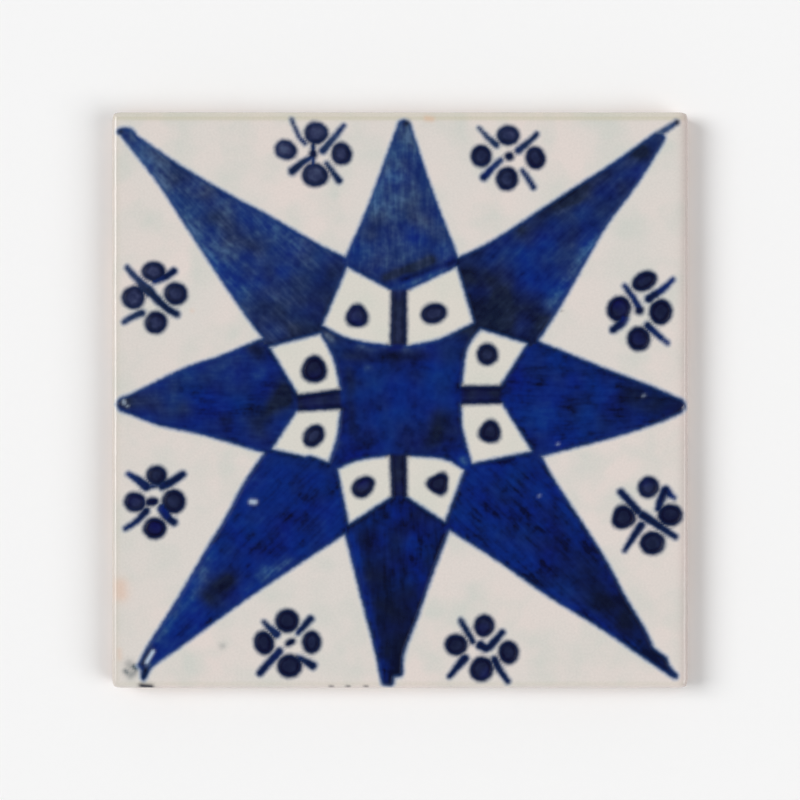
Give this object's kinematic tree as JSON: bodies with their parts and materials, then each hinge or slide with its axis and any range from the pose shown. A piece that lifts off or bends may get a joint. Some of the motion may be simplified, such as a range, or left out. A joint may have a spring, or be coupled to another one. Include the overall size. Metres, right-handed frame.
{
  "type": "pool tile",
  "caption": "Square hand-painted glazed ceramic tile with a raised cobalt star on white, cushioned edges and a keyed back.",
  "frame": {"origin": "centre of the bedding plane, under the middle of the tile", "axes": "+Z out of the glazed face; +X to the right and +Y up the face as the tile hangs on a wall in the picture"},
  "size_m": [0.152, 0.152, 0.008],
  "materials": {
    "tile_glaze": "white tin glaze with fired cobalt brushwork, gloss; bare buff clay on the back"
  },
  "bodies": {
    "root": {"tile": "tile_glaze"}
  },
  "joints": []
}
